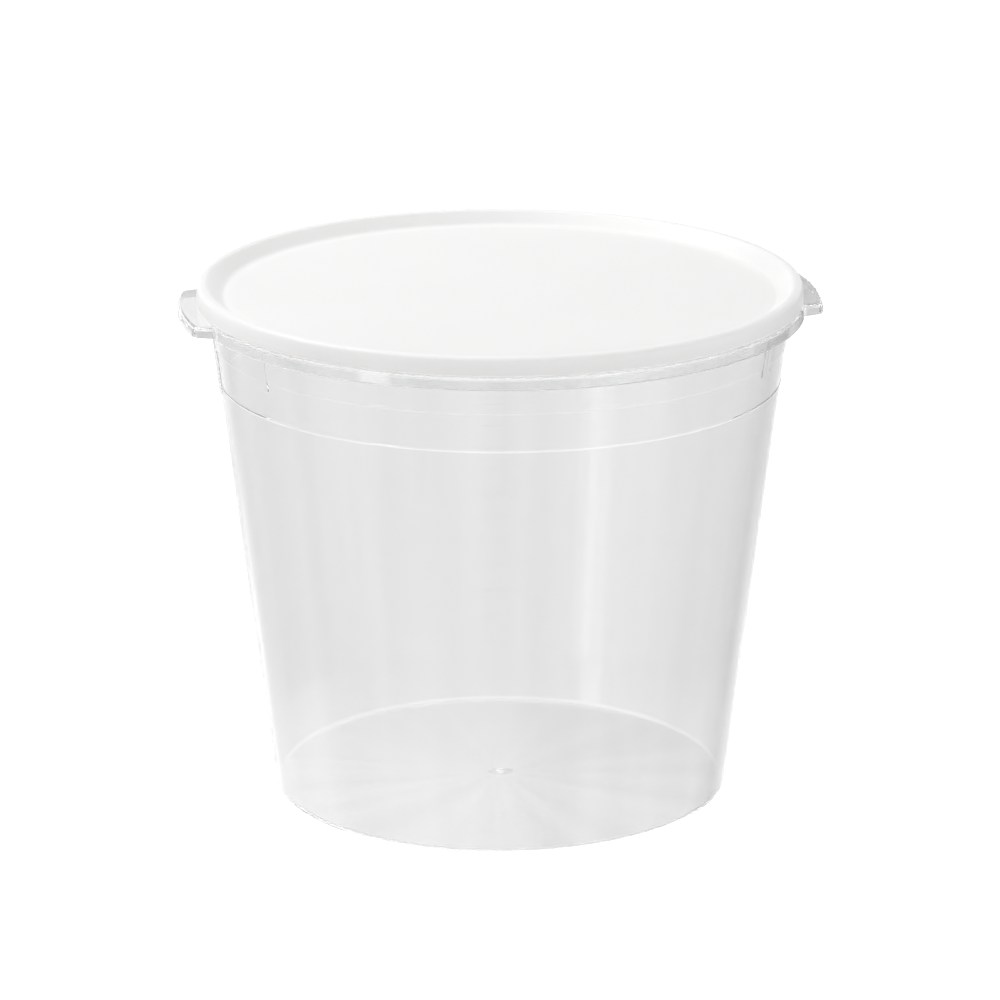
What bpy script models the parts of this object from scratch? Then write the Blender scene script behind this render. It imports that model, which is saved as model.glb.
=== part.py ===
# Round food storage container: a tapered tub with two hollow grips, and a lid that snaps over its rim.
# Metres, +Z up. The tub stands on Z = 0, centred on the Z axis, with its grips on the X axis.

import math

import bmesh
import bpy
from mathutils import Matrix, Vector

# Tub: wall and base
BASE_RADIUS = 0.1068        # outer wall carried down to the resting plane
WALL_TOP_RADIUS = 0.1349    # outer wall carried up to the flange's top face
FLANGE_TOP = 0.2355         # height of the flange's top face
WALL = 0.0018
FLOOR = 0.0020
BASE_CORNER = 0.0045        # outer rounding between wall and base
BASE_FILLET = 0.0015        # inner rounding between wall and floor
GATE_RADIUS = 0.0042        # shallow well around the moulding gate
GATE_RISE = 0.0008

# Tub: thickened band under the flange, and the fine bead below it
BAND_DROP = 0.0186          # from the flange's top face down to the band's lower edge
BAND_PROUD = 0.0004
BEAD_DROP = 0.0365
BEAD_HEIGHT = 0.0012
BEAD_PROUD = 0.0002

# Tub: flange with its hanging skirt
FLANGE_REACH = 0.0026       # from the upright rim out to the flange's shoulder
FLANGE_THICKNESS = 0.0016
SHOULDER = 0.0010
SKIRT_DEPTH = 0.0062
SKIRT_WALL = 0.0013
SKIRT_FLARE = 0.0004

# Tub: upright rim that the lid snaps over
RIM_STEP = 0.0036           # from the wall's inner face out to the rim's inner face
RIM_HEIGHT = 0.0073         # above the flange's top face
RIM_WALL = 0.0016
SHELF_DROP = 0.0012         # start of the inner shelf below the flange's top face
SNAP_DROP = 0.0022          # middle of the snap bead below the rim's top
SNAP_HEIGHT = 0.0020
SNAP_PROUD = 0.0002

# Tub: grips, open underneath
GRIP_REACH = 0.0086         # beyond the flange's shoulder
GRIP_HALF_ANGLE = 15.3      # degrees, where a grip leaves the flange
GRIP_TAPER = 30.0           # degrees between a grip's end wall and the radius there
GRIP_CORNER = 0.0030
GRIP_EDGE = 0.0022
GRIP_WALL = 0.0016
GRIP_LIFT = 0.0009          # lower edge of a grip above the lower edge of the skirt
GRIP_ROOT = 0.0004          # depth of a grip's walls past the skirt's inner face

# Tub: ribs on the outside of the wall, under the flange
RIB_WIDTH = 0.0065
STACK_RIB_ANGLES = (28.5, 146.3, 208.5, 326.3)
STACK_RIB_PROUD = 0.0008
STACK_RIB_DROP = 0.0045     # lower end below the band's lower edge
GRIP_RIB_ANGLES = (0.0, 180.0)
GRIP_RIB_PROUD = 0.0010
GRIP_RIB_DROP = 0.0220

# Lid
LID_WALL = 0.0012
LID_CLEARANCE = 0.0003      # between the lid's channel and the rim
CREST_RADIUS = 0.0070       # rounding from the lid's crest in to the slope
PANEL_DEPTH = 0.0063        # recess of the panel below the lid's crest
COVE_RADIUS = 0.0090
COVE_SLOPE = 48.0           # degrees between the slope down to the panel and the vertical
LIP_GAP = 0.0005            # between the lid's lip and the flange's top face
LIP_FLARE = 0.0006
LIP_EDGE = 0.0003

# Resolution and working values
TURN_STEPS = 72
OUTLINE_STEP = 2.5          # degrees between points on a grip's outer arc
EDGE_STEPS = 3
CUT_OVERRUN = 0.0020
SHARP_ANGLE = math.radians(32.0)
MERGE_DISTANCE = 0.00001

# Sizes that follow from those above
SLOPE = (WALL_TOP_RADIUS - BASE_RADIUS) / FLANGE_TOP
TAPER = math.degrees(math.atan(SLOPE))
LEAN = math.hypot(1.0, SLOPE)
FLANGE_UNDERSIDE = FLANGE_TOP - FLANGE_THICKNESS
SKIRT_BOTTOM = FLANGE_TOP - SKIRT_DEPTH
BAND_BOTTOM = FLANGE_TOP - BAND_DROP
RIM_TOP = FLANGE_TOP + RIM_HEIGHT
RIM_INNER = WALL_TOP_RADIUS - WALL * LEAN + RIM_STEP
RIM_OUTER = RIM_INNER + RIM_WALL
SNAP_RADIUS = RIM_OUTER + SNAP_PROUD
FLANGE_RADIUS = RIM_OUTER + FLANGE_REACH
SKIRT_INNER = FLANGE_RADIUS - SKIRT_WALL
GRIP_RADIUS = FLANGE_RADIUS + GRIP_REACH


def wall_radius(height):
    return BASE_RADIUS + SLOPE * height


def inner_radius(height):
    return wall_radius(height) - WALL * LEAN


def arc(centre, radius, start, end, steps):
    """Points on an arc about centre, from start to end in degrees, both ends included."""
    points = []
    for step in range(steps + 1):
        angle = math.radians(start + (end - start) * step / steps)
        points.append((centre[0] + radius * math.cos(angle), centre[1] + radius * math.sin(angle)))
    return points


def tub_inside():
    """Radius and height of the inner face, from the axis out and up to the rim."""
    fillet_height = FLOOR + BASE_FILLET
    fillet = (inner_radius(fillet_height) - BASE_FILLET * LEAN, fillet_height)
    shelf = FLANGE_TOP - SHELF_DROP
    shelf_width = RIM_INNER - inner_radius(shelf)
    return [
        (0.0, FLOOR + GATE_RISE),
        (GATE_RADIUS, FLOOR + GATE_RISE),
        (GATE_RADIUS + GATE_RISE, FLOOR),
        *arc(fillet, BASE_FILLET, -90.0, -TAPER, 3),
        (inner_radius(shelf), shelf),
        (RIM_INNER, min(shelf + shelf_width, RIM_TOP - RIM_WALL)),
    ]


def tub_outside():
    """Radius and height of the outer face, from the rim's top down to the axis."""
    rim_round = ((RIM_INNER + RIM_OUTER) / 2, RIM_TOP - RIM_WALL / 2)
    snap = RIM_TOP - SNAP_DROP
    shoulder = (FLANGE_RADIUS - SHOULDER, FLANGE_TOP - SHOULDER)
    band_edge = BAND_BOTTOM - BAND_PROUD
    bead = FLANGE_TOP - BEAD_DROP
    corner = (wall_radius(BASE_CORNER) - BASE_CORNER * LEAN, BASE_CORNER)
    return [
        *arc(rim_round, RIM_WALL / 2, 180.0, 0.0, 4),
        (RIM_OUTER, snap + SNAP_HEIGHT / 2),
        (SNAP_RADIUS, snap),
        (RIM_OUTER, snap - SNAP_HEIGHT / 2),
        (RIM_OUTER, FLANGE_TOP),
        *arc(shoulder, SHOULDER, 90.0, 0.0, 3),
        (FLANGE_RADIUS + SKIRT_FLARE, SKIRT_BOTTOM),
        (SKIRT_INNER + SKIRT_FLARE, SKIRT_BOTTOM),
        (SKIRT_INNER, FLANGE_UNDERSIDE),
        (wall_radius(FLANGE_UNDERSIDE) + BAND_PROUD, FLANGE_UNDERSIDE),
        (wall_radius(BAND_BOTTOM) + BAND_PROUD, BAND_BOTTOM),
        (wall_radius(band_edge), band_edge),
        (wall_radius(bead + BEAD_HEIGHT / 2), bead + BEAD_HEIGHT / 2),
        (wall_radius(bead) + BEAD_PROUD, bead),
        (wall_radius(bead - BEAD_HEIGHT / 2), bead - BEAD_HEIGHT / 2),
        *arc(corner, BASE_CORNER, -TAPER, -90.0, 4),
        (GATE_RADIUS + GATE_RISE, 0.0),
        (GATE_RADIUS, GATE_RISE),
        (0.0, GATE_RISE),
    ]


def lid_section():
    """Radius and height of the lid, from the axis out over its top face and back underneath."""
    channel = RIM_WALL / 2 + SNAP_PROUD + LID_CLEARANCE
    bead = channel + LID_WALL
    centre = ((RIM_INNER + RIM_OUTER) / 2, RIM_TOP + LID_CLEARANCE - channel)
    panel = centre[1] + bead - PANEL_DEPTH
    slope = math.radians(COVE_SLOPE)
    crest = (centre[0], centre[1] + bead - CREST_RADIUS)
    leave = (crest[0] - CREST_RADIUS * math.cos(slope), crest[1] + CREST_RADIUS * math.sin(slope))
    # The cove is no larger than the height between the panel and the crest allows.
    cove = min(COVE_RADIUS, (leave[1] - panel) / (1.0 - math.sin(slope)))
    run = (leave[1] - panel - cove * (1.0 - math.sin(slope))) / math.cos(slope)
    cove_centre = (leave[0] - run * math.sin(slope) - cove * math.cos(slope), panel + cove)
    lip = FLANGE_TOP + LIP_GAP
    lip_outer = centre[0] + bead + LIP_FLARE
    lip_inner = lip_outer - LID_WALL
    catch = SNAP_RADIUS + LID_CLEARANCE
    return [
        (0.0, panel),
        *arc(cove_centre, cove, -90.0, -COVE_SLOPE, 4),
        *arc(crest, CREST_RADIUS, 180.0 - COVE_SLOPE, 90.0, 3),
        *arc(centre, bead, 90.0, 0.0, 4)[1:],
        (lip_outer, lip + LIP_EDGE),
        (lip_outer - LIP_EDGE, lip),
        (lip_inner, lip),
        (catch, lip + SNAP_HEIGHT / 2),
        (lip_inner, lip + SNAP_HEIGHT),
        *arc(centre, channel, 0.0, 90.0, 4),
        *arc(crest, CREST_RADIUS - LID_WALL, 90.0, 180.0 - COVE_SLOPE, 3)[1:],
        *arc(cove_centre, cove + LID_WALL, -COVE_SLOPE, -90.0, 4),
        (0.0, panel - LID_WALL),
    ]


def collection_named(name):
    collection = bpy.data.collections.new(name)
    bpy.context.scene.collection.children.link(collection)
    return collection


def material(name, colour, roughness, transmission):
    made = bpy.data.materials.new(name)
    made.use_nodes = True
    shader = made.node_tree.nodes["Principled BSDF"]
    shader.inputs["Base Color"].default_value = (*colour, 1.0)
    shader.inputs["Roughness"].default_value = roughness
    shader.inputs["Metallic"].default_value = 0.0
    shader.inputs["Transmission Weight"].default_value = transmission
    return made


def turned(name, section, collection):
    """A body turned about Z from an open section whose two ends lie on the axis."""
    mesh = bpy.data.meshes.new(name)
    edges = [(i, i + 1) for i in range(len(section) - 1)]
    mesh.from_pydata([(radius, 0.0, height) for radius, height in section], edges, [])
    body = bpy.data.objects.new(name, mesh)
    collection.objects.link(body)
    screw = body.modifiers.new("turn", "SCREW")
    screw.axis = "Z"
    screw.angle = math.radians(360.0)
    screw.steps = TURN_STEPS
    screw.render_steps = TURN_STEPS
    screw.use_merge_vertices = True
    screw.merge_threshold = MERGE_DISTANCE
    return body


def grip_outline(inner, inset):
    """Plan of a grip on +X, walls moved in by inset: from inner radius out to the rounded corners."""
    outer = GRIP_RADIUS - inset
    corner = max(GRIP_CORNER - inset, GRIP_CORNER / 3)
    half = math.radians(GRIP_HALF_ANGLE)
    along = half - math.radians(GRIP_TAPER)
    direction = Vector((math.cos(along), math.sin(along)))
    inward = Vector((direction.y, -direction.x))
    root = Vector((math.cos(half), math.sin(half))) * FLANGE_RADIUS + inward * inset

    def meets(start, radius):
        """Where the line from start along direction crosses the circle of this radius."""
        ahead = start.dot(direction)
        return start + direction * (math.sqrt(ahead * ahead - start.length_squared + radius * radius) - ahead)

    centre = meets(root + inward * corner, outer - corner)
    corner_end = math.degrees(math.atan2(centre.y, centre.x))
    corner_start = math.degrees(along) + 90.0
    inner_point = meets(root, inner)
    inner_angle = math.degrees(math.atan2(inner_point.y, inner_point.x))
    outer_steps = 2 * math.ceil(corner_end / OUTLINE_STEP)
    inner_steps = 2 * math.ceil(inner_angle / OUTLINE_STEP)
    axis = (0.0, 0.0)
    far_corner = (centre.x, -centre.y)
    return [
        *arc(axis, inner, -inner_angle, inner_angle, inner_steps),
        *arc(centre, corner, corner_start, corner_end, EDGE_STEPS),
        *arc(axis, outer, corner_end, -corner_end, outer_steps)[1:-1],
        *arc(far_corner, corner, -corner_end, -corner_start, EDGE_STEPS),
    ]


def flat_body(name, outline, bottom, top, collection):
    """A prism over a plan outline, as a closed mesh."""
    curve = bpy.data.curves.new(name, "CURVE")
    curve.dimensions = "2D"
    curve.fill_mode = "BOTH"
    curve.extrude = (top - bottom) / 2
    spline = curve.splines.new("POLY")
    spline.points.add(len(outline) - 1)
    for point, (x, y) in zip(spline.points, outline):
        point.co = (x, y, 0.0, 1.0)
    spline.use_cyclic_u = True
    drawn = bpy.data.objects.new(name, curve)
    drawn.location.z = (top + bottom) / 2
    collection.objects.link(drawn)
    bpy.context.view_layer.update()
    graph = bpy.context.evaluated_depsgraph_get()
    mesh = bpy.data.meshes.new_from_object(drawn.evaluated_get(graph))
    mesh.transform(drawn.matrix_world)
    bpy.data.objects.remove(drawn)
    work = bmesh.new()
    work.from_mesh(mesh)
    bmesh.ops.remove_doubles(work, verts=work.verts, dist=MERGE_DISTANCE)
    bmesh.ops.recalc_face_normals(work, faces=work.faces)
    work.to_mesh(mesh)
    work.free()
    body = bpy.data.objects.new(name, mesh)
    collection.objects.link(body)
    return body


def grip_body(name, collection):
    """A grip on +X as a solid block, its outer top edge rounded."""
    outline = grip_outline(SKIRT_INNER - GRIP_ROOT, 0.0)
    body = flat_body(name, outline, SKIRT_BOTTOM + GRIP_LIFT, FLANGE_TOP, collection)
    work = bmesh.new()
    work.from_mesh(body.data)
    rounded = []
    for edge in work.edges:
        ends = [vert.co for vert in edge.verts]
        on_top = all(FLANGE_TOP - end.z < MERGE_DISTANCE for end in ends)
        outside = all(end.xy.length > FLANGE_RADIUS for end in ends)
        if on_top and outside and len(edge.link_faces) == 2:
            if abs(edge.link_faces[0].normal.z - edge.link_faces[1].normal.z) > 0.5:
                rounded.append(edge)
    bmesh.ops.bevel(
        work, geom=rounded, offset=GRIP_EDGE, segments=EDGE_STEPS, profile=0.5, affect="EDGES", material=-1
    )
    work.to_mesh(body.data)
    work.free()
    return body


def pocket_cutter(name, collection):
    """What is cut from a grip on +X, from below, and from the skirt across it."""
    band_radius = wall_radius(FLANGE_UNDERSIDE) + BAND_PROUD
    outline = grip_outline((band_radius + SKIRT_INNER) / 2, GRIP_WALL)
    return flat_body(name, outline, SKIRT_BOTTOM - CUT_OVERRUN, FLANGE_UNDERSIDE, collection)


def rib_body(name, bottom, proud, top_proud, collection):
    """A rib on +X, rooted in the wall: proud of it at its lower end, top_proud under the flange."""
    top = FLANGE_TOP - FLANGE_THICKNESS / 2
    low = Vector((wall_radius(bottom) + proud, 0.0, bottom))
    high = Vector((wall_radius(top) + top_proud, 0.0, top))
    depth = max(proud, top_proud) + WALL / 2
    work = bmesh.new()
    bmesh.ops.create_cube(work, size=1.0)
    bmesh.ops.scale(work, vec=(depth, RIB_WIDTH, (high - low).length), verts=work.verts)
    tilt = Matrix.Rotation(math.atan2(high.x - low.x, high.z - low.z), 4, "Y")
    bmesh.ops.transform(work, matrix=tilt, verts=work.verts)
    middle = (low + high) / 2 + tilt @ Vector((-depth / 2, 0.0, 0.0))
    bmesh.ops.translate(work, vec=middle, verts=work.verts)
    mesh = bpy.data.meshes.new(name)
    work.to_mesh(mesh)
    work.free()
    body = bpy.data.objects.new(name, mesh)
    collection.objects.link(body)
    return body


def turn_to(body, angle):
    body.rotation_euler.z = math.radians(angle)


def combine(body, tool, operation):
    boolean = body.modifiers.new(tool.name, "BOOLEAN")
    boolean.operation = operation
    boolean.solver = "EXACT"
    boolean.object = tool
    tool.hide_render = True
    tool.display_type = "WIRE"


def settle(body):
    """Makes the modified shape the object's own mesh, smooth but for its real corners."""
    bpy.context.view_layer.update()
    graph = bpy.context.evaluated_depsgraph_get()
    mesh = bpy.data.meshes.new_from_object(body.evaluated_get(graph))
    body.modifiers.clear()
    body.data = mesh
    mesh.name = body.name
    mesh.shade_smooth()
    mesh.set_sharp_from_angle(angle=SHARP_ANGLE)


def make_tub(parts, tools):
    tub = turned("tub", tub_inside() + tub_outside(), parts)
    for angle in GRIP_RIB_ANGLES:
        grip = grip_body(f"grip_{angle:.0f}", tools)
        turn_to(grip, angle)
        combine(tub, grip, "UNION")
    for angle in GRIP_RIB_ANGLES:
        pocket = pocket_cutter(f"grip_pocket_{angle:.0f}", tools)
        turn_to(pocket, angle)
        combine(tub, pocket, "DIFFERENCE")
    for angle in STACK_RIB_ANGLES:
        proud = BAND_PROUD + STACK_RIB_PROUD
        rib = rib_body(f"stack_rib_{angle:.0f}", BAND_BOTTOM - STACK_RIB_DROP, proud, proud, tools)
        turn_to(rib, angle)
        combine(tub, rib, "UNION")
    for angle in GRIP_RIB_ANGLES:
        rib = rib_body(
            f"grip_rib_{angle:.0f}", BAND_BOTTOM - GRIP_RIB_DROP, GRIP_RIB_PROUD, 2 * BAND_PROUD, tools
        )
        turn_to(rib, angle)
        combine(tub, rib, "UNION")
    settle(tub)
    tub.data.materials.clear()
    tub.data.materials.append(material("clear polypropylene", (0.86, 0.87, 0.87), 0.12, 0.90))
    return tub


def make_lid(parts):
    lid = turned("lid", lid_section(), parts)
    settle(lid)
    lid.data.materials.clear()
    lid.data.materials.append(material("white polyethylene", (0.92, 0.92, 0.91), 0.35, 0.0))
    return lid


def main():
    for old in list(bpy.data.objects):
        bpy.data.objects.remove(old)
    parts = collection_named("food_container")
    tools = collection_named("food_container_tools")
    make_tub(parts, tools)
    make_lid(parts)
    for tool in list(tools.objects):
        bpy.data.objects.remove(tool)
    bpy.data.collections.remove(tools)


main()
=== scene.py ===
import math

import bmesh
import bpy
from mathutils import Matrix, Vector


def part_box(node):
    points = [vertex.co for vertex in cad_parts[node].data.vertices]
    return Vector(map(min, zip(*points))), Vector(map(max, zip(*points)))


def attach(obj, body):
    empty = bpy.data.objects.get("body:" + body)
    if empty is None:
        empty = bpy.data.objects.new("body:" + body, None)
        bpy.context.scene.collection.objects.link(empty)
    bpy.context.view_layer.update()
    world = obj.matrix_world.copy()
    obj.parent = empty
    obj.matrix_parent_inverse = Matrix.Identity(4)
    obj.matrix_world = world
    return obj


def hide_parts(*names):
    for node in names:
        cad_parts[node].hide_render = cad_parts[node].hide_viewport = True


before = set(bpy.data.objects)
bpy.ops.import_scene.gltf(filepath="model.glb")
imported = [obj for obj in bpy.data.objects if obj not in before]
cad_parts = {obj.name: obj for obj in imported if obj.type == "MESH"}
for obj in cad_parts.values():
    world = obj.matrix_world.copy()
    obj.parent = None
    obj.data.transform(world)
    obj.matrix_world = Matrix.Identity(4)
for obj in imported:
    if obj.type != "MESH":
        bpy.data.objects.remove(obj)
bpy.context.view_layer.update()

# A round food tub of clear plastic with two hollow grips, and its white lid.
# Metres, +Z up, the tub stands on Z = 0 with its grips on the X axis.
print("frame loaded: " + ", ".join(sorted(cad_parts)))

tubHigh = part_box("tub")[1]


# Shaping

closeness = {
    "weld": 0.000005,  # points nearer than this become one
    "figureWeld": 0.000001,
    "level": 0.00001,  # heights nearer than this count as one
}


def arcPoints(centre, radius, start, end, steps):
    points = []
    for step in range(steps + 1):
        angle = math.radians(start + (end - start) * step / steps)
        points.append(Vector((centre[0] + radius * math.cos(angle), centre[1] + radius * math.sin(angle))))
    return points


def roundedChain(corners, steps=6, support=0.0002):
    # corners are (radius, height, rounding)
    # each rounding becomes an arc with a support point on either side
    spots = [Vector(corner[:2]) for corner in corners]
    halves = [math.pi / 2] * len(spots)
    reaches = [0.0] * len(spots)
    for index in range(1, len(spots) - 1):
        halves[index] = (spots[index - 1] - spots[index]).angle(spots[index + 1] - spots[index]) / 2
        reaches[index] = corners[index][2] / math.tan(halves[index])
    gaps = [
        (spots[index + 1] - spots[index]).length - reaches[index] - reaches[index + 1]
        for index in range(len(spots) - 1)
    ]
    points = []
    for index, here in enumerate(spots):
        if reaches[index] == 0.0:
            points.append(here)
            continue
        before = (spots[index - 1] - here).normalized()
        after = (spots[index + 1] - here).normalized()
        reach, rounding = reaches[index], corners[index][2]
        middle = here + (before + after).normalized() * rounding / math.sin(halves[index])
        start = here + before * reach - middle
        end = here + after * reach - middle
        points.append(here + before * (reach + min(support, gaps[index - 1] / 3)))
        points += [middle + start.slerp(end, step / steps) * rounding for step in range(steps + 1)]
        points.append(here + after * (reach + min(support, gaps[index] / 3)))
    return points


def placed(name, mesh):
    piece = bpy.data.objects.new(name, mesh)
    bpy.context.scene.collection.objects.link(piece)
    return piece


def meshFrom(name, bm):
    mesh = bpy.data.meshes.new(name)
    bm.to_mesh(mesh)
    bm.free()
    return mesh


def spun(name, points, steps):
    # turns an open chain whose ends are on the axis
    bm = bmesh.new()
    chain = [bm.verts.new((point[0], 0.0, point[1])) for point in points]
    edges = [bm.edges.new(pair) for pair in zip(chain, chain[1:])]
    bmesh.ops.spin(
        bm, geom=chain + edges, cent=(0, 0, 0), axis=(0, 0, 1), dvec=(0, 0, 0),
        angle=math.tau, steps=steps, use_merge=True, use_duplicate=False,
    )
    bmesh.ops.remove_doubles(bm, verts=bm.verts, dist=closeness["weld"])
    bmesh.ops.recalc_face_normals(bm, faces=bm.faces)
    return placed(name, meshFrom(name, bm))


def turnBy(bm, angle):
    matrix = Matrix.Rotation(math.radians(angle), 3, "Z")
    bmesh.ops.rotate(bm, cent=(0, 0, 0), matrix=matrix, verts=bm.verts)


def combine(body, tool, operation):
    boolean = body.modifiers.new(tool.name, "BOOLEAN")
    boolean.operation = operation
    boolean.solver = "EXACT"
    boolean.object = tool


def evaluated(body):
    bpy.context.view_layer.update()
    graph = bpy.context.evaluated_depsgraph_get()
    return bpy.data.meshes.new_from_object(body.evaluated_get(graph))


def settle(body, tools, angle):
    body.data = evaluated(body)
    body.modifiers.clear()
    for tool in tools:
        bpy.data.objects.remove(tool)
    body.data.shade_smooth()
    body.data.set_sharp_from_angle(angle=math.radians(angle))
    # broad faces keep their own normal, so that an edge bends light only where it is round
    weighted = body.modifiers.new("weighted", "WEIGHTED_NORMAL")
    weighted.keep_sharp = True
    body.data = evaluated(body)
    body.modifiers.clear()


# Tub wall, base, flange and rim

tubShape = {
    "turnSteps": 256,
    "sharpAngle": 32.0,  # degrees, edges that turn more than this stay crisp
    "baseRadius": 0.1068,  # outer wall carried down to the floor
    "topRadius": 0.1349,  # outer wall carried up to the flange
    "flangeTop": 0.2355,
    "wall": 0.0018,
    "floor": 0.0020,
    "baseCorner": 0.0034,
    "floorFillet": 0.0016,
    "gateRadius": 0.0022,  # flat middle of the shallow well under the base
    "gateSlope": 0.0040,
    "gateRise": 0.0003,
    "gateRounding": 0.0020,
    "bandDrop": 0.0186,  # lower edge of the thick band under the flange
    "bandProud": 0.0004,
    "beadDrop": 0.0365,  # fine bead round the wall
    "beadHeight": 0.0012,
    "beadProud": 0.00025,
    "flangeReach": 0.0026,
    "flangeThickness": 0.0016,
    "shoulder": 0.0005,
    "tightShoulder": 0.0004,  # the same edge in the short sectors beside the grips
    "shoulderZone": 0.0017,  # distance from the corner that the rounding takes up
    "skirtDepth": 0.0058,
    "skirtWall": 0.0013,
    "skirtFlare": 0.0004,
    "rimStep": 0.0036,
    "rimWall": 0.0016,
    "rimRound": 0.49,  # rounding of the rim's two top edges, as a share of its wall
    "shelfDrop": 0.0012,
    "snapDrop": 0.0022,
    "snapHeight": 0.0020,
    "snapProud": 0.0002,
    "softEdge": 0.0003,
}

slope = (tubShape["topRadius"] - tubShape["baseRadius"]) / tubShape["flangeTop"]
lean = math.hypot(1.0, slope)
flangeUnderside = tubShape["flangeTop"] - tubShape["flangeThickness"]
skirtBottom = tubShape["flangeTop"] - tubShape["skirtDepth"]
bandBottom = tubShape["flangeTop"] - tubShape["bandDrop"]
rimTop = tubHigh.z
rimInner = tubShape["topRadius"] - tubShape["wall"] * lean + tubShape["rimStep"]
rimOuter = rimInner + tubShape["rimWall"]
snapRadius = rimOuter + tubShape["snapProud"]
flangeRadius = rimOuter + tubShape["flangeReach"]
skirtInner = flangeRadius - tubShape["skirtWall"]
gripRadius = tubHigh.x


def wallRadius(height):
    return tubShape["baseRadius"] + slope * height


def innerRadius(height):
    return wallRadius(height) - tubShape["wall"] * lean


def tubChain():
    s = tubShape
    soft = s["softEdge"]
    shelf = s["flangeTop"] - s["shelfDrop"]
    shelfTop = shelf + rimInner - innerRadius(shelf)
    snap = rimTop - s["snapDrop"]
    bead = s["flangeTop"] - s["beadDrop"]
    bandEdge = bandBottom - s["bandProud"]
    gate, rise, gentle = s["gateRadius"], s["gateRise"], s["gateRounding"]
    foot = gate + s["gateSlope"]
    return roundedChain([
        (0.0, s["floor"] + rise, 0.0),
        (gate, s["floor"] + rise, gentle),
        (foot, s["floor"], gentle),
        (innerRadius(s["floor"]), s["floor"], s["floorFillet"]),
        (innerRadius(shelf), shelf, 2 * soft),
        (rimInner, shelfTop, 2 * soft),
        (rimInner, rimTop, s["rimWall"] * s["rimRound"]),
        (rimOuter, rimTop, s["rimWall"] * s["rimRound"]),
        (rimOuter, snap + s["snapHeight"] / 2, soft),
        (snapRadius, snap, soft),
        (rimOuter, snap - s["snapHeight"] / 2, soft),
        (rimOuter, s["flangeTop"], soft),
        (flangeRadius, s["flangeTop"], s["shoulder"]),
        (flangeRadius + s["skirtFlare"], skirtBottom, soft),
        (skirtInner + s["skirtFlare"], skirtBottom, soft),
        (skirtInner, flangeUnderside, soft),
        (wallRadius(flangeUnderside) + s["bandProud"], flangeUnderside, soft),
        (wallRadius(bandBottom) + s["bandProud"], bandBottom, soft / 2),
        (wallRadius(bandEdge), bandEdge, soft / 2),
        (wallRadius(bead + s["beadHeight"] / 2), bead + s["beadHeight"] / 2, soft / 3),
        (wallRadius(bead) + s["beadProud"], bead, soft),
        (wallRadius(bead - s["beadHeight"] / 2), bead - s["beadHeight"] / 2, soft / 3),
        (s["baseRadius"], 0.0, s["baseCorner"]),
        (foot, 0.0, gentle),
        (gate, rise, gentle),
        (0.0, rise, 0.0),
    ])


# Grips

gripShape = {
    "angles": (0.0, 180.0),
    "halfAngle": 15.3,  # degrees, where a grip leaves the flange
    "taper": 30.0,
    "corner": 0.0030,
    "leastCorner": 0.0010,
    "topEdge": 0.0022,
    "topSegments": 8,
    "lowerEdge": 0.0004,
    "lowerSegments": 4,
    "wall": 0.0016,
    "lift": 0.0009,  # a grip's lower edge is this much above the skirt's
    "root": 0.0004,  # a grip reaches this far into the skirt
    "arcStep": 1.0,  # degrees between points on the outer arc
    "cornerSteps": 10,
}


def gripOutline(inner, inset):
    # plan of a grip on +X, its walls moved in by inset
    outer = gripRadius - inset
    corner = max(gripShape["corner"] - inset, gripShape["leastCorner"])
    half = math.radians(gripShape["halfAngle"])
    along = half - math.radians(gripShape["taper"])
    direction = Vector((math.cos(along), math.sin(along)))
    inward = Vector((direction.y, -direction.x))
    root = Vector((math.cos(half), math.sin(half))) * flangeRadius + inward * inset

    def meets(start, radius):
        ahead = start.dot(direction)
        reach = math.sqrt(ahead * ahead - start.length_squared + radius * radius)
        return start + direction * (reach - ahead)

    centre = meets(root + inward * corner, outer - corner)
    cornerEnd = math.degrees(math.atan2(centre.y, centre.x))
    cornerStart = math.degrees(along) + 90.0
    innerPoint = meets(root, inner)
    innerAngle = math.degrees(math.atan2(innerPoint.y, innerPoint.x))
    outerSteps = 2 * math.ceil(cornerEnd / gripShape["arcStep"])
    innerSteps = 2 * math.ceil(innerAngle / gripShape["arcStep"])
    steps = gripShape["cornerSteps"]
    return [
        *arcPoints((0.0, 0.0), inner, -innerAngle, innerAngle, innerSteps),
        *arcPoints(centre, corner, cornerStart, cornerEnd, steps),
        *arcPoints((0.0, 0.0), outer, cornerEnd, -cornerEnd, outerSteps)[1:-1],
        *arcPoints((centre.x, -centre.y), corner, -cornerEnd, -cornerStart, steps),
    ]


def onLevel(vert, height):
    return abs(vert.co.z - height) < closeness["level"]


def prism(name, outline, bottom, top, angle, edges):
    # edges are (height, smallest radius, width, segments) of the corner lines to round
    bm = bmesh.new()
    face = bm.faces.new([bm.verts.new((x, y, bottom)) for x, y in outline])
    made = bmesh.ops.extrude_face_region(bm, geom=[face])
    lifted = [part for part in made["geom"] if isinstance(part, bmesh.types.BMVert)]
    bmesh.ops.translate(bm, vec=(0.0, 0.0, top - bottom), verts=lifted)
    bmesh.ops.recalc_face_normals(bm, faces=bm.faces)
    for height, smallest, width, segments in edges:
        line = [
            edge for edge in bm.edges
            if all(onLevel(vert, height) and vert.co.xy.length > smallest for vert in edge.verts)
        ]
        bmesh.ops.bevel(
            bm, geom=line, offset=width, segments=segments, profile=0.5, affect="EDGES", material=-1,
        )
    turnBy(bm, angle)
    return placed(name, meshFrom(name, bm))


def gripBody(angle):
    outline = gripOutline(skirtInner - gripShape["root"], 0.0)
    bottom = skirtBottom + gripShape["lift"]
    top = tubShape["flangeTop"]
    return prism("grip", outline, bottom, top, angle, [
        (top, flangeRadius, gripShape["topEdge"], gripShape["topSegments"]),
        (bottom, flangeRadius, gripShape["lowerEdge"], gripShape["lowerSegments"]),
    ])


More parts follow.
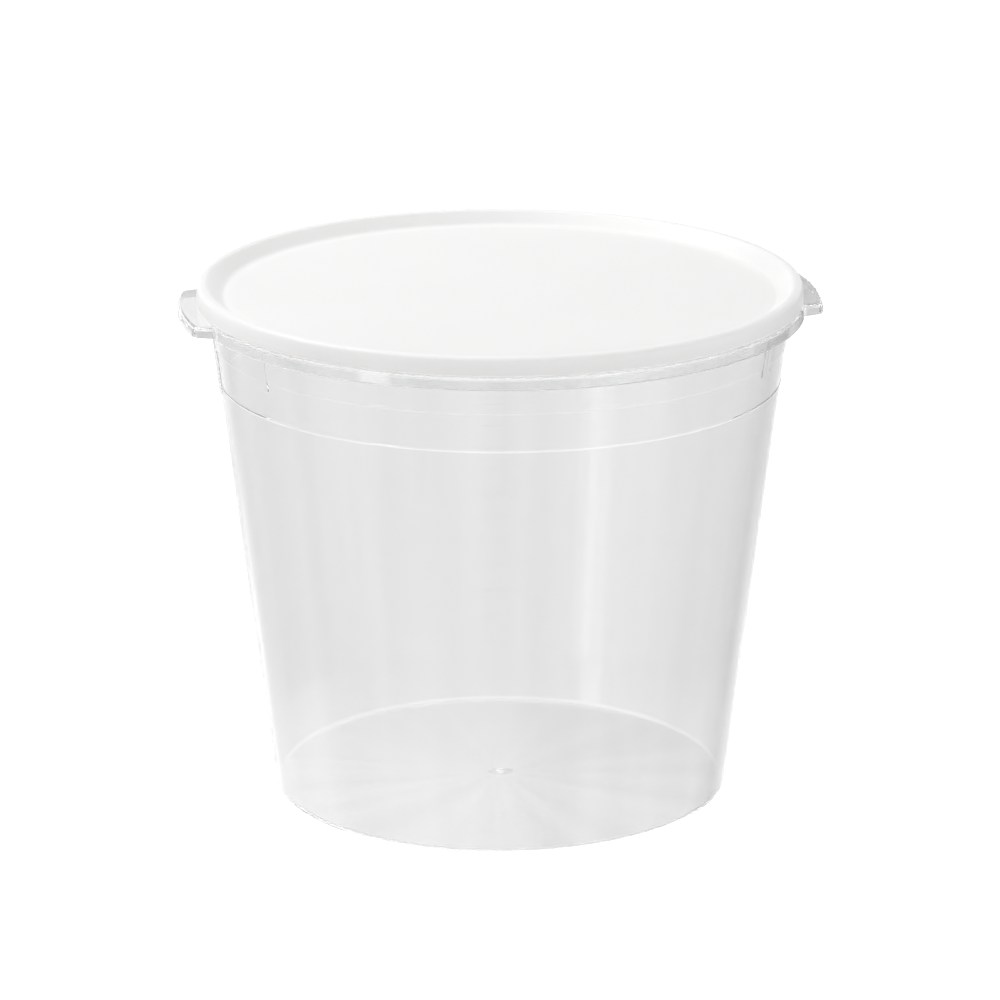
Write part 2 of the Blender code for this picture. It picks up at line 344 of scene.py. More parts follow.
def gripPocket(angle):
    bandRadius = wallRadius(flangeUnderside) + tubShape["bandProud"]
    outline = gripOutline((bandRadius + skirtInner) / 2, gripShape["wall"])
    overrun = 2 * gripShape["wall"]
    return prism("gripPocket", outline, skirtBottom - overrun, flangeUnderside, angle, [
        (flangeUnderside, 0.0, gripShape["lowerEdge"], gripShape["lowerSegments"]),
    ])


# Ribs on the outside of the wall

ribShape = {
    "width": 0.0065,
    "draft": 0.0005,  # a rib's face is this much in from its foot on three sides
    "stackAngles": (28.5, 146.3, 208.5, 326.3),
    "stackProud": 0.00045,
    "stackDrop": 0.0045,
    "gripAngles": (0.0, 180.0),
    "gripProud": 0.0008,
    "gripTopProud": 0.0007,
    "gripDrop": 0.0220,
    "edge": 0.0003,
    "edgeSegments": 6,
}


def ribBody(bottom, proud, topProud, angle):
    top = tubShape["flangeTop"] - tubShape["flangeThickness"] / 2
    low = Vector((wallRadius(bottom) + proud, 0.0, bottom))
    high = Vector((wallRadius(top) + topProud, 0.0, top))
    depth = max(proud, topProud) + tubShape["wall"] / 2
    bm = bmesh.new()
    bmesh.ops.create_cube(bm, size=1.0)
    bmesh.ops.scale(bm, vec=(depth, ribShape["width"], (high - low).length), verts=bm.verts)
    foot = depth / max(proud, topProud) * ribShape["draft"]
    for vert in bm.verts:
        if vert.co.x < 0:
            vert.co.y += math.copysign(foot - ribShape["draft"], vert.co.y)
        else:
            vert.co.y -= math.copysign(ribShape["draft"], vert.co.y)
        if vert.co.z < 0:
            vert.co.z += ribShape["draft"] if vert.co.x > 0 else ribShape["draft"] - foot
    outer = [
        edge for edge in bm.edges
        if all(vert.co.x > 0 for vert in edge.verts) and any(vert.co.z < 0 for vert in edge.verts)
    ]
    bmesh.ops.bevel(
        bm, geom=outer, offset=ribShape["edge"], segments=ribShape["edgeSegments"],
        profile=0.5, affect="EDGES", material=-1,
    )
    tilt = Matrix.Rotation(math.atan2(high.x - low.x, high.z - low.z), 4, "Y")
    bmesh.ops.transform(bm, matrix=tilt, verts=bm.verts)
    bmesh.ops.translate(bm, vec=(low + high) / 2 + tilt @ Vector((-depth / 2, 0.0, 0.0)), verts=bm.verts)
    turnBy(bm, angle)
    return placed("rib", meshFrom("rib", bm))


def tightenShoulder(body):
    # between a stacking rib and its grip the flange keeps a crisp edge
    first, second, third, fourth = ribShape["stackAngles"]
    corner = Vector((flangeRadius, tubShape["flangeTop"]))
    share = tubShape["tightShoulder"] / tubShape["shoulder"]
    for vert in body.data.vertices:
        away = Vector((vert.co.xy.length, vert.co.z)) - corner
        bearing = math.degrees(math.atan2(vert.co.y, vert.co.x)) % 360.0
        besideGrip = not (first < bearing < second or third < bearing < fourth)
        if away.length < tubShape["shoulderZone"] and besideGrip:
            moved = corner + away * share
            flat = vert.co.xy.normalized() * moved.x
            vert.co = (flat.x, flat.y, moved.y)


# Raised scale on the wall that faces away from the camera

scaleShape = {
    "angle": 83.9,  # degrees round from +X
    "proud": 0.00018,
    "sunk": 0.0004,
    "line": 0.0006,
    "lineCuts": 7,  # so that a line follows the curve of the wall
    "long": 0.0180,
    "short": 0.0100,
    "figure": 0.0062,
    "figureShift": 0.0132,
    "figureSteps": 3,
    "firstLitre": 1,
    "lastLitre": 9,
    "cubicMetre": 1000.0,  # litres
    "halvings": 30,
}


def heightOf(litres):
    # height of a filling, found by halving the gap between two heights
    low, high = tubShape["floor"], tubShape["flangeTop"]
    base = innerRadius(tubShape["floor"])
    for _ in range(scaleShape["halvings"]):
        middle = (low + high) / 2
        top = innerRadius(middle)
        volume = math.pi * (middle - tubShape["floor"]) * (base * base + base * top + top * top) / 3
        if volume * scaleShape["cubicMetre"] < litres:
            low = middle
        else:
            high = middle
    return middle


def wrapOnWall(bm, height):
    # flat work in X and Y is laid on the wall, its Z standing out from it
    centre = math.radians(scaleShape["angle"])
    for vert in bm.verts:
        level = height + vert.co.y
        radius = wallRadius(level)
        bearing = centre + vert.co.x / radius
        out = radius + vert.co.z
        vert.co = (out * math.cos(bearing), out * math.sin(bearing), level)


def scaleLine(litres, width):
    bm = bmesh.new()
    bmesh.ops.create_cube(bm, size=1.0)
    thick = scaleShape["proud"] + scaleShape["sunk"]
    bmesh.ops.scale(bm, vec=(width, scaleShape["line"], thick), verts=bm.verts)
    bmesh.ops.translate(bm, vec=(0.0, 0.0, thick / 2 - scaleShape["sunk"]), verts=bm.verts)
    across = [edge for edge in bm.edges if abs(edge.verts[0].co.x - edge.verts[1].co.x) > width / 2]
    bmesh.ops.subdivide_edges(bm, edges=across, cuts=scaleShape["lineCuts"], use_grid_fill=True)
    wrapOnWall(bm, heightOf(litres))
    return placed("scaleLine", meshFrom("scaleLine", bm))


def scaleFigure(litres):
    curve = bpy.data.curves.new("figure", "FONT")
    curve.body = str(litres)
    curve.size = scaleShape["figure"]
    curve.align_x = "CENTER"
    curve.align_y = "CENTER"
    curve.extrude = (scaleShape["proud"] + scaleShape["sunk"]) / 2
    curve.resolution_u = scaleShape["figureSteps"]
    writing = placed("figure", curve)
    flat = evaluated(writing)
    bpy.data.objects.remove(writing)
    bm = bmesh.new()
    bm.from_mesh(flat)
    bmesh.ops.remove_doubles(bm, verts=bm.verts, dist=closeness["figureWeld"])
    lift = (scaleShape["proud"] - scaleShape["sunk"]) / 2
    bmesh.ops.translate(bm, vec=(-scaleShape["figureShift"], 0.0, lift), verts=bm.verts)
    wrapOnWall(bm, heightOf(litres))
    return placed("scaleFigure", meshFrom("scaleFigure", bm))


def scaleTools():
    # a long line and a figure at each litre, a short line between them
    tools = []
    for half in range(2 * scaleShape["firstLitre"], 2 * scaleShape["lastLitre"] + 1):
        whole = half % 2 == 0
        tools.append(scaleLine(half / 2, scaleShape["long"] if whole else scaleShape["short"]))
        if whole:
            tools.append(scaleFigure(half // 2))
    return tools


def joined(name, pieces):
    bm = bmesh.new()
    for piece in pieces:
        bm.from_mesh(piece.data)
        bpy.data.objects.remove(piece)
    return placed(name, meshFrom(name, bm))


def buildTub():
    tub = spun("tubMoulding", tubChain(), tubShape["turnSteps"])
    tightenShoulder(tub)
    tools = []
    proud = ribShape["stackProud"]
    for angle in ribShape["stackAngles"]:
        tools.append(ribBody(bandBottom - ribShape["stackDrop"], proud, proud, angle))
        combine(tub, tools[-1], "UNION")
    for angle in ribShape["gripAngles"]:
        bottom = bandBottom - ribShape["gripDrop"]
        tools.append(ribBody(bottom, ribShape["gripProud"], ribShape["gripTopProud"], angle))
        combine(tub, tools[-1], "UNION")
    for angle in gripShape["angles"]:
        tools.append(gripBody(angle))
        combine(tub, tools[-1], "UNION")
    for angle in gripShape["angles"]:
        tools.append(gripPocket(angle))
        combine(tub, tools[-1], "DIFFERENCE")
    tools.append(joined("scale", scaleTools()))
    combine(tub, tools[-1], "UNION")
    settle(tub, tools, tubShape["sharpAngle"])
    return tub


# Lid

lidShape = {
    "turnSteps": 320,
    "sharpAngle": 40.0,
    "wall": 0.0012,
    "clearance": 0.0003,
    "cornerRadius": 0.0024,  # rounding from the crest out to the side
    "crestFlat": 0.0008,  # the crest runs this far in from the middle of the channel
    "crestRadius": 0.0032,  # rounding from the crest in to the slope
    "panelDepth": 0.0063,
    "coveRadius": 0.0040,
    "coveSlope": 45.0,
    "lipGap": 0.0005,
    "lipFlare": 0.0006,
    "lipEdge": 0.0003,
    "lipHeight": 0.0012,
    "panelMargin": 0.0005,  # flat kept before the cove begins
    "outerSteps": 12,  # on each arc of the outer face and the channel
    "innerSteps": 8,
    "lipSteps": 4,
    "lipSupport": 0.00005,
}


def buildLid():
    s = lidShape
    channel = tubShape["rimWall"] / 2 + tubShape["snapProud"] + s["clearance"]
    bead = channel + s["wall"]
    centre = ((rimInner + rimOuter) / 2, rimTop + s["clearance"] - channel)
    panel = centre[1] + bead - s["panelDepth"]
    angle = math.radians(s["coveSlope"])
    crest = s["crestRadius"]
    crestCentre = (centre[0] - s["crestFlat"], centre[1] + bead - crest)
    corner = s["cornerRadius"]
    cornerCentre = (centre[0] + bead - corner, centre[1] + bead - corner)
    leave = (crestCentre[0] - crest * math.cos(angle), crestCentre[1] + crest * math.sin(angle))
    cove = min(s["coveRadius"], (leave[1] - panel) / (1.0 - math.sin(angle)))
    run = (leave[1] - panel - cove * (1.0 - math.sin(angle))) / math.cos(angle)
    coveCentre = (leave[0] - run * math.sin(angle) - cove * math.cos(angle), panel + cove)
    lip = tubShape["flangeTop"] + s["lipGap"]
    lipOuter = centre[0] + bead + s["lipFlare"]
    lipInner = lipOuter - s["wall"]
    catch = snapRadius + s["clearance"]
    panelEdge = coveCentre[0] - s["panelMargin"]
    points = [
        Vector((0.0, panel)),
        Vector((panelEdge, panel)),
        *arcPoints(coveCentre, cove, -90.0, -s["coveSlope"], s["outerSteps"]),
        *arcPoints(crestCentre, crest, 180.0 - s["coveSlope"], 90.0, s["outerSteps"]),
        *arcPoints(cornerCentre, corner, 90.0, 0.0, s["outerSteps"]),
        *roundedChain([
            (lipOuter, lip + s["lipHeight"], 0.0),
            (lipOuter, lip, s["lipEdge"]),
            (lipInner, lip, s["lipEdge"] / 2),
            (catch, lip + tubShape["snapHeight"] / 2, s["lipEdge"]),
            (lipInner, lip + tubShape["snapHeight"], s["lipEdge"]),
            (centre[0] + channel, centre[1], 0.0),
        ], steps=s["lipSteps"], support=s["lipSupport"]),
        *arcPoints(centre, channel, 0.0, 90.0, s["outerSteps"])[1:],
        *arcPoints(crestCentre, crest - s["wall"], 90.0, 180.0 - s["coveSlope"], s["innerSteps"]),
        *arcPoints(coveCentre, cove + s["wall"], -s["coveSlope"], -90.0, s["innerSteps"]),
        Vector((panelEdge, panel - s["wall"])),
        Vector((0.0, panel - s["wall"])),
    ]
    lid = spun("lidMoulding", points, s["turnSteps"])
    settle(lid, [], s["sharpAngle"])
    return lid, panelEdge


# Shared effects

def feed(tree, socket, value):
    if isinstance(value, bpy.types.NodeSocket):
        tree.links.new(value, socket)
    else:
        socket.default_value = value


def addMath(tree, operation, *values):
    node = tree.nodes.new("ShaderNodeMath")
    node.operation = operation
    for socket, value in zip(node.inputs, values):
        feed(tree, socket, value)
    return node.outputs[0]


def addRamp(tree, value, start, end, low, high):
    node = tree.nodes.new("ShaderNodeMapRange")
    node.interpolation_type = "SMOOTHSTEP"
    tree.links.new(value, node.inputs["Value"])
    for label, number in (("From Min", start), ("From Max", end), ("To Min", low), ("To Max", high)):
        node.inputs[label].default_value = number
    return node.outputs["Result"]


def addNoise(tree, vector, scale, detail):
    node = tree.nodes.new("ShaderNodeTexNoise")
    tree.links.new(vector, node.inputs["Vector"])
    feed(tree, node.inputs["Scale"], scale)
    node.inputs["Detail"].default_value = detail
    return node.outputs[0]


def addSplit(tree, vector):
    split = tree.nodes.new("ShaderNodeSeparateXYZ")
    tree.links.new(vector, split.inputs[0])
    return split.outputs


def addJoin(tree, x, y, z):
    join = tree.nodes.new("ShaderNodeCombineXYZ")
    for socket, value in zip(join.inputs, (x, y, z)):
        feed(tree, socket, value)
    return join.outputs[0]


def addColours(tree, factor, first, second):
    blend = tree.nodes.new("ShaderNodeMix")
    blend.data_type = "RGBA"
    for place, value in ((0, factor), (6, first), (7, second)):  # by place, as the names repeat
        feed(tree, blend.inputs[place], value)
    return blend.outputs[2]


def addBlend(tree, factor, first, second):
    blend = tree.nodes.new("ShaderNodeMix")
    for label, value in (("Factor", factor), ("A", first), ("B", second)):
        feed(tree, blend.inputs[label], value)
    return blend.outputs["Result"]


def addRadius(tree, split):
    # distance from the upright axis
    square = addMath(tree, "MULTIPLY", split["X"], split["X"])
    return addMath(tree, "SQRT", addMath(tree, "MULTIPLY_ADD", split["Y"], split["Y"], square))


def newGroup(name, numbers, outputs):
    # a group that takes a vector and some numbers
    group = bpy.data.node_groups.new(name, "ShaderNodeTree")
    group.interface.new_socket("Vector", in_out="INPUT", socket_type="NodeSocketVector")
    for label in numbers:
        group.interface.new_socket(label, in_out="INPUT", socket_type="NodeSocketFloat")
    for label in outputs:
        group.interface.new_socket(label, in_out="OUTPUT", socket_type="NodeSocketFloat")
    return group, group.nodes.new("NodeGroupInput"), group.nodes.new("NodeGroupOutput")


flowPattern = {
    "rise": 0.35,  # how fast a streak changes on its way up the wall
    "details": {"Broad": 1.0, "Fine": 4.0},
}


def flowGroup():
    # streaks of the melt, out from the gate across the base and straight up the wall
    group, given, result = newGroup("flowStreaks", ("broadScale", "fineScale"), ("Broad", "Fine"))
    split = addSplit(group, given.outputs["Vector"])
    outward = group.nodes.new("ShaderNodeVectorMath")
    outward.operation = "NORMALIZE"
    group.links.new(addJoin(group, split["X"], split["Y"], 0.0), outward.inputs[0])
    turned = addSplit(group, outward.outputs[0])
    rise = addMath(group, "MULTIPLY", split["Z"], flowPattern["rise"])
    along = addJoin(group, turned["X"], turned["Y"], rise)
    for label, detail in flowPattern["details"].items():
        scale = given.outputs[label.lower() + "Scale"]
        group.links.new(addNoise(group, along, scale, detail), result.inputs[label])
    return group


grainPattern = {
    "detail": 3.0,
    "driftScale": 14.0,
    "driftDetail": 2.0,
}


def grainGroup():
    # the fine matt grain of the mould and a slow drift over it
    group, given, result = newGroup("mouldGrain", ("grainScale",), ("Grain", "Drift"))
    vector = given.outputs["Vector"]
    grain = addNoise(group, vector, given.outputs["grainScale"], grainPattern["detail"])
    drift = addNoise(group, vector, grainPattern["driftScale"], grainPattern["driftDetail"])
    group.links.new(grain, result.inputs["Grain"])
    group.links.new(drift, result.inputs["Drift"])
    return group


flowStreaks = flowGroup()
mouldGrain = grainGroup()


# Materials

def newMaterial(name):
    made = bpy.data.materials.new(name)
    made.use_nodes = True
    tree = made.node_tree
    return made, tree, tree.nodes["Principled BSDF"], tree.nodes["Material Output"]


def objectVector(tree):
    return tree.nodes.new("ShaderNodeTexCoord").outputs["Object"]


def addGroup(tree, group, vector, **values):
    node = tree.nodes.new("ShaderNodeGroup")
    node.node_tree = group
    tree.links.new(vector, node.inputs["Vector"])
    for label, value in values.items():
        node.inputs[label].default_value = value
    return node.outputs


def addBump(tree, height, strength, distance, shader):
    bump = tree.nodes.new("ShaderNodeBump")
    bump.inputs["Strength"].default_value = strength
    bump.inputs["Distance"].default_value = distance
    tree.links.new(height, bump.inputs["Height"])
    tree.links.new(bump.outputs["Normal"], shader.inputs["Normal"])


def mixSurface(tree, output, factor, first, second):
    mix = tree.nodes.new("ShaderNodeMixShader")
    feed(tree, mix.inputs[0], factor)
    tree.links.new(first.outputs[0], mix.inputs[1])
    tree.links.new(second.outputs[0], mix.inputs[2])
    tree.links.new(mix.outputs[0], output.inputs["Surface"])


clearPlastic = {
    "dim": (0.885, 0.888, 0.888, 1.0),
    "clear": (0.935, 0.937, 0.937, 1.0),
    "toneFrom": 0.35,  # the streaks' values at which the plastic is dim, then clear
    "toneFull": 0.85,
    "thick": (0.66, 0.665, 0.665, 1.0),  # painted shade: a darker colour on the ends of the grips, below their top edge, stands in for the shade seen there
    "endShadeFrom": 0.0295,  # distance from the grips' own middle line
    "endShadeFull": 0.0325,
    "endShadeTop": 0.0012,  # it ends this far below the flange's top face
    "edge": (1.0, 1.0, 1.0, 1.0),  # painted highlight: the lower edge of the skirt is coloured white, standing in for the bright line that light makes along it
    "edgeHighlightHeight": 0.0007,
    "edgeRoughness": 0.6,
    "roughness": (0.026, 0.034),
    "roughFrom": 0.3,
    "roughFull": 0.7,
    "ior": 1.49,
    "transmission": 0.93,
    "passing": (0.975, 0.975, 0.975, 1.0),
    "broadStreaks": 5.0,
    "fineStreaks": 46.0,
    "fineShare": 0.2,  # weight of the fine streaks beside the broad ones
    "bump": 0.006,
    "bumpDistance": 0.00005,
    "lastBounce": 5.5,  # light that has gone further than this comes straight out
}


def thickMask(tree, split, radius):
    # painted shade on the ends of the grips, below their top edge
    aside = addMath(tree, "ABSOLUTE", split["Y"])
    atEnd = addRamp(tree, aside, clearPlastic["endShadeFrom"], clearPlastic["endShadeFull"], 0.0, 1.0)
    onGrip = addRamp(tree, radius, flangeRadius, flangeRadius + gripShape["wall"], 0.0, 1.0)
    high = tubShape["flangeTop"] - clearPlastic["endShadeTop"]
    underTop = addRamp(tree, split["Z"], high - gripShape["lowerEdge"], high, 1.0, 0.0)
    return addMath(tree, "MULTIPLY", underTop, addMath(tree, "MULTIPLY", atEnd, onGrip))


def edgeMask(tree, split, radius):
    # painted highlight: a white band along the lower edge of the skirt
    high = skirtBottom + clearPlastic["edgeHighlightHeight"]
    low = addRamp(tree, split["Z"], high - tubShape["softEdge"], high, 1.0, 0.0)
    outside = addMath(tree, "GREATER_THAN", radius, skirtInner - tubShape["softEdge"])
    return addMath(tree, "MULTIPLY", low, outside)


def tubMaterial():
    made, tree, shader, output = newMaterial("clearPolypropylene")
    s = clearPlastic
    shader.inputs["IOR"].default_value = s["ior"]
    shader.inputs["Transmission Weight"].default_value = s["transmission"]
    vector = objectVector(tree)
    flow = addGroup(tree, flowStreaks, vector, broadScale=s["broadStreaks"], fineScale=s["fineStreaks"])
    both = addMath(tree, "MULTIPLY_ADD", flow["Fine"], s["fineShare"], flow["Broad"])
    tone = addRamp(tree, both, s["toneFrom"], s["toneFull"], 0.0, 1.0)
    split = addSplit(tree, vector)
    radius = addRadius(tree, split)
    edge = edgeMask(tree, split, radius)
    thin = addColours(tree, tone, s["dim"], s["clear"])
    # painted shade: the ends of the grips are coloured darker
    endShaded = addColours(tree, thickMask(tree, split, radius), thin, s["thick"])
    # painted highlight: the lower edge of the skirt is coloured white
    tree.links.new(addColours(tree, edge, endShaded, s["edge"]), shader.inputs["Base Color"])
    streaked = addRamp(tree, flow["Fine"], s["roughFrom"], s["roughFull"], *s["roughness"])
    tree.links.new(addBlend(tree, edge, streaked, s["edgeRoughness"]), shader.inputs["Roughness"])
    addBump(tree, flow["Fine"], s["bump"], s["bumpDistance"], shader)
    # lamps and the light of the room reach what is inside, and light caught in the wall comes out of it
    path = tree.nodes.new("ShaderNodeLightPath").outputs
    caught = addMath(tree, "GREATER_THAN", path["Ray Depth"], s["lastBounce"])
    inside = addMath(tree, "MAXIMUM", path["Is Diffuse Ray"], caught)
    passing = addMath(tree, "MAXIMUM", path["Is Shadow Ray"], inside)
    through = tree.nodes.new("ShaderNodeBsdfTransparent")
    through.inputs["Color"].default_value = s["passing"]
    mixSurface(tree, output, passing, shader, through)
    return made


whitePlastic = {
    "low": (0.902, 0.902, 0.897, 1.0),
    "high": (0.937, 0.937, 0.932, 1.0),
    "bead": (0.975, 0.975, 0.97, 1.0),  # whiter than the panel, partly because the moulding is thicker there and partly as a painted highlight for the light on the crest
    "beadRoughness": 0.30,
    "panelRoughness": 0.50,
    "fleck": 0.08,  # how much the grain changes the roughness
    "specular": 0.45,
    "translucent": 0.28,
    "grain": 1500.0,
    "bump": 0.35,
    "bumpDistance": 0.00004,
    "grainFade": 0.0045,  # the grain and the thinner tone fade out this far before the cove
}


def lidMaterial(panelEdge):
    made, tree, shader, output = newMaterial("whitePolyethylene")
    s = whitePlastic
    vector = objectVector(tree)
    grain = addGroup(tree, mouldGrain, vector, grainScale=s["grain"])
    radius = addRadius(tree, addSplit(tree, vector))
    onPanel = addRamp(tree, radius, panelEdge - s["grainFade"], panelEdge, 1.0, 0.0)
    thin = addColours(tree, grain["Drift"], s["low"], s["high"])
    # the rim beyond the panel is whiter, partly a painted highlight
    tree.links.new(addColours(tree, onPanel, s["bead"], thin), shader.inputs["Base Color"])
    rougher = s["panelRoughness"] - s["beadRoughness"]
    matt = addMath(tree, "MULTIPLY_ADD", onPanel, rougher, s["beadRoughness"])
    fleck = addMath(tree, "MULTIPLY_ADD", grain["Grain"], s["fleck"], -s["fleck"] / 2)
    tree.links.new(addMath(tree, "ADD", matt, fleck), shader.inputs["Roughness"])
    height = addMath(tree, "MULTIPLY", grain["Grain"], onPanel)
    addBump(tree, height, s["bump"], s["bumpDistance"], shader)
    shader.inputs["Specular IOR Level"].default_value = s["specular"]
    glow = tree.nodes.new("ShaderNodeBsdfTranslucent")
    glow.inputs["Color"].default_value = s["high"]
    mixSurface(tree, output, s["translucent"], shader, glow)
    return made


# Stage

floorSetting = {
    "width": 14.0,
    "gap": 0.0002,  # air under the base, so that no two surfaces lie in one plane
    "colour": (0.88, 0.88, 0.88, 1.0),
    "glow": 0.5,  # light of its own that the camera sees
    "lift": 0.35,  # light of its own that matt surfaces get
}


def buildFloor():
    bm = bmesh.new()
    bmesh.ops.create_grid(bm, x_segments=1, y_segments=1, size=floorSetting["width"] / 2)
    floor = placed("floor", meshFrom("floor", bm))
    floor.location.z = -floorSetting["gap"]
    made, tree, shader, output = newMaterial("paleFloor")
    tree.nodes.remove(shader)
    path = tree.nodes.new("ShaderNodeLightPath").outputs
    matt = tree.nodes.new("ShaderNodeBsdfDiffuse")
    matt.inputs["Color"].default_value = floorSetting["colour"]
    glow = tree.nodes.new("ShaderNodeEmission")
    lift = addMath(tree, "MULTIPLY", path["Is Diffuse Ray"], floorSetting["lift"])
    strength = addMath(tree, "MULTIPLY_ADD", path["Is Camera Ray"], floorSetting["glow"], lift)
    tree.links.new(strength, glow.inputs["Strength"])
    both = tree.nodes.new("ShaderNodeAddShader")
    tree.links.new(matt.outputs[0], both.inputs[0])
    tree.links.new(glow.outputs[0], both.inputs[1])
    # shiny and clear surfaces look through the floor at the room
    shiny = addMath(tree, "MAXIMUM", path["Is Glossy Ray"], path["Is Transmission Ray"])
    mixSurface(tree, output, shiny, both, tree.nodes.new("ShaderNodeBsdfTransparent"))
    floor.data.materials.append(made)


surround = {
    "fill": 0.53,  # the light of the room on matt surfaces
    "turn": 8.5,  # degrees from +Y to the middle of the bright backdrop
    # what clear and shiny surfaces see, in three rings: degrees right of the middle, and strength
    "around": (
        (-180.0, 0.75), (-120.0, 0.8), (-40.0, 0.78), (-31.0, 0.84), (-26.0, 1.0),
        (14.0, 1.0), (24.0, 0.75), (40.0, 0.4), (90.0, 0.4), (115.0, 0.75), (180.0, 0.75),
    ),
    "horizon": ((-180.0, 0.95), (-120.0, 1.3), (120.0, 1.3), (180.0, 0.95)),
    "horizonFrom": -12.0,  # heights are degrees above the horizon
    "horizonFull": -7.0,
    "upper": ((-180.0, 1.1), (-60.0, 1.3), (-35.0, 0.88), (35.0, 0.9), (60.0, 1.3), (180.0, 1.1)),
    "upperFrom": 7.0,
    "upperFull": 10.0,
    # dark cloths: two behind the object, which the grips mirror, and one to its right for the flange
    "cloths": (
        {"from": -14.0, "to": 0.5, "foot": 9.0, "top": 19.0, "strength": 0.75},
        {"from": 0.5, "to": 13.0, "foot": 9.0, "top": 19.0, "strength": 0.17},
        {"from": 15.0, "to": 70.0, "foot": -14.0, "top": -2.0, "strength": 0.25},
    ),
    "clothSoft": 2.0,
    "overhead": 1.86,
    "overheadFrom": 28.0,
    "overheadFull": 42.0,
    "underfoot": 1.16,  # factor on the lowest ring further down
    "underfootFrom": -19.0,
    "underfootFull": -20.5,
    "table": 0.92,  # the table right under the object
    "tableFrom": -34.0,
    "tableFull": -37.0,
    "strip": 3.4,  # a tall light on the left of the camera, which the far wall mirrors
    "stripBearing": -133.0,
    "stripHalf": 6.5,
    "stripSoft": 3.0,
    "stripTop": 20.0,
    "stripFoot": -13.0,
}


def addRing(tree, share, stops):
    ring = tree.nodes.new("ShaderNodeValToRGB")
    tree.links.new(share, ring.inputs[0])
    elements = ring.color_ramp.elements
    elements.remove(elements[-1])
    elements[0].color = (stops[0][1], stops[0][1], stops[0][1], 1.0)
    for angle, strength in stops[1:]:
        elements.new((angle + 180.0) / 360.0).color = (strength, strength, strength, 1.0)
    return ring.outputs["Color"]


def addWindow(tree, value, start, end, soft):
    # 1 between start and end, 0 outside
    opening = addRamp(tree, value, start, start + soft, 0.0, 1.0)
    return addMath(tree, "MULTIPLY", opening, addRamp(tree, value, end, end + soft, 1.0, 0.0))


def addCloths(tree, sky, degrees, height):
    soft = surround["clothSoft"]
    for cloth in surround["cloths"]:
        across = addWindow(tree, degrees, cloth["from"], cloth["to"], soft)
        upright = addWindow(tree, height, cloth["foot"] - soft, cloth["top"], soft)
        sky = addBlend(tree, addMath(tree, "MULTIPLY", across, upright), sky, cloth["strength"])
    return sky


def addStrip(tree, degrees, height):
    s = surround
    off = addMath(tree, "ABSOLUTE", addMath(tree, "SUBTRACT", degrees, s["stripBearing"]))
    near, far = s["stripHalf"] - s["stripSoft"], s["stripHalf"] + s["stripSoft"]
    below = addMath(tree, "LESS_THAN", height, s["stripTop"])
    above = addMath(tree, "GREATER_THAN", height, s["stripFoot"])
    inHeight = addMath(tree, "MULTIPLY", below, above)
    return addMath(tree, "MULTIPLY", addRamp(tree, off, near, far, s["strip"], 0.0), inHeight)


def buildWorld():
    world = bpy.data.worlds.new("studio")
    bpy.context.scene.world = world
    world.use_nodes = True
    tree = world.node_tree
    s = surround
    place = tree.nodes.new("ShaderNodeTexCoord")
    turn = tree.nodes.new("ShaderNodeMapping")
    turn.inputs["Rotation"].default_value[2] = math.radians(s["turn"])
    tree.links.new(place.outputs["Generated"], turn.inputs["Vector"])
    split = addSplit(tree, turn.outputs["Vector"])
    height = addMath(tree, "DEGREES", addMath(tree, "ARCSINE", split["Z"]))
    bearing = addMath(tree, "ARCTAN2", split["X"], split["Y"])
    degrees = addMath(tree, "DEGREES", bearing)
    share = addMath(tree, "MULTIPLY_ADD", bearing, 1.0 / math.tau, 0.5)
    lift = addRamp(tree, height, s["horizonFrom"], s["horizonFull"], 0.0, 1.0)
    sky = addBlend(tree, lift, addRing(tree, share, s["around"]), addRing(tree, share, s["horizon"]))
    below = addRamp(tree, height, s["underfootFull"], s["underfootFrom"], s["underfoot"], 1.0)
    sky = addMath(tree, "MULTIPLY", sky, below)
    upper = addRing(tree, share, s["upper"])
    for label, strength in (("upper", upper), ("overhead", s["overhead"]), ("table", s["table"])):
        reach = addRamp(tree, height, s[label + "From"], s[label + "Full"], 0.0, 1.0)
        sky = addBlend(tree, reach, sky, strength)
    sky = addCloths(tree, sky, degrees, height)
    studio = addMath(tree, "MAXIMUM", sky, addStrip(tree, degrees, height))
    path = tree.nodes.new("ShaderNodeLightPath").outputs
    shiny = addMath(tree, "MAXIMUM", path["Is Glossy Ray"], path["Is Transmission Ray"])
    lit = addBlend(tree, shiny, s["fill"], studio)
    background = tree.nodes["Background"]
    tree.links.new(addBlend(tree, path["Is Camera Ray"], lit, 1.0), background.inputs["Strength"])
    background.inputs["Color"].default_value = (1.0, 1.0, 1.0, 1.0)


lamps = (
    {
        "name": "topSoftbox", "place": (-0.7, 0.5, 1.8), "width": 1.6, "height": 1.6,
        "radiance": 2.8, "mirrored": True,
    },
    {
        "name": "lowStrip", "place": (1.2, -1.2, 0.12), "width": 0.6, "height": 0.22,
        "radiance": 6.0, "mirrored": False,
    },
)


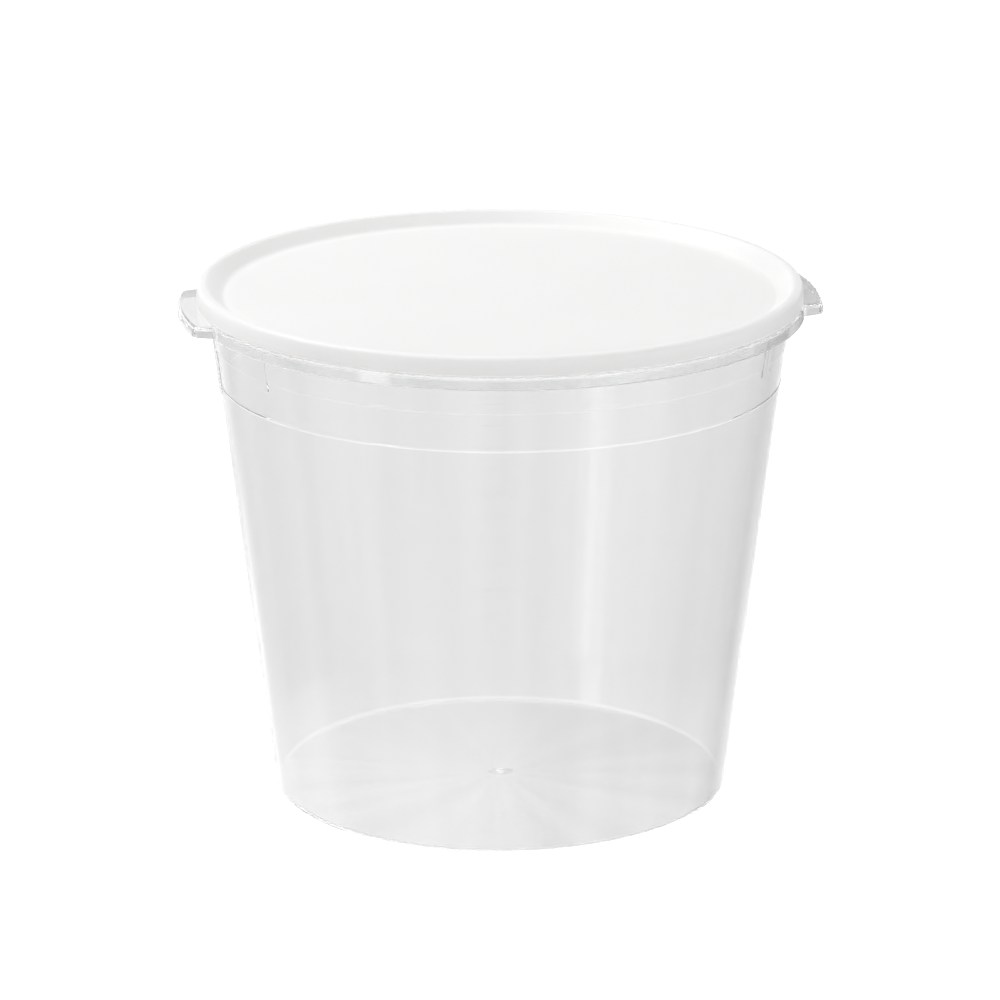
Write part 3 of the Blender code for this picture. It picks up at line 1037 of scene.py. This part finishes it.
def buildLights():
    target = Vector((0.0, 0.0, tubShape["flangeTop"] / 2))
    for setting in lamps:
        lamp = bpy.data.lights.new(setting["name"], "AREA")
        lamp.shape = "RECTANGLE"
        lamp.size = setting["width"]
        lamp.size_y = setting["height"]
        lamp.energy = setting["radiance"] * math.pi * setting["width"] * setting["height"]
        holder = bpy.data.objects.new(setting["name"], lamp)
        bpy.context.scene.collection.objects.link(holder)
        holder.location = setting["place"]
        holder.rotation_euler = (target - holder.location).to_track_quat("-Z", "Y").to_euler()
        holder.visible_camera = False
        holder.visible_transmission = False
        holder.visible_glossy = setting["mirrored"]


cameraSetting = {
    "distance": 2.1868,
    "height": 0.8056,
    "turn": 8.5,  # degrees round from the -Y side towards -X
    "pitch": 17.0,
    "lens": 175.4,
    "sensor": 36.0,
    "reach": 40.0,
}


def buildCamera():
    camera = bpy.data.cameras.new("photoCamera")
    camera.lens = cameraSetting["lens"]
    camera.sensor_width = cameraSetting["sensor"]
    camera.clip_end = cameraSetting["reach"]
    holder = bpy.data.objects.new("photoCamera", camera)
    turn = math.radians(cameraSetting["turn"])
    distance = cameraSetting["distance"]
    holder.location = (-distance * math.sin(turn), -distance * math.cos(turn), cameraSetting["height"])
    holder.rotation_euler = (math.radians(90.0 - cameraSetting["pitch"]), 0.0, -turn)
    bpy.context.scene.collection.objects.link(holder)
    bpy.context.scene.camera = holder


lightPaths = {"bounces": 24, "glossy": 16, "transparent": 32}


def setLightPaths():
    # light runs a long way round inside a clear wall before it comes out
    cycles = bpy.context.scene.cycles
    cycles.max_bounces = lightPaths["bounces"]
    cycles.transmission_bounces = lightPaths["bounces"]
    cycles.glossy_bounces = lightPaths["glossy"]
    cycles.transparent_max_bounces = lightPaths["transparent"]


buildCamera()
buildWorld()
buildLights()
buildFloor()
setLightPaths()
print("stage built")

tubPiece = buildTub()
tubPiece.data.materials.clear()
tubPiece.data.materials.append(tubMaterial())
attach(tubPiece, "tub")
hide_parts("tub")
print("tub built: " + str(len(tubPiece.data.polygons)) + " faces")

lidPiece, lidPanelEdge = buildLid()
lidPiece.data.materials.append(lidMaterial(lidPanelEdge))
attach(lidPiece, "lid")
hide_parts("lid")
print("lid built: " + str(len(lidPiece.data.polygons)) + " faces")

bpy.context.scene.view_settings.view_transform = "Standard"
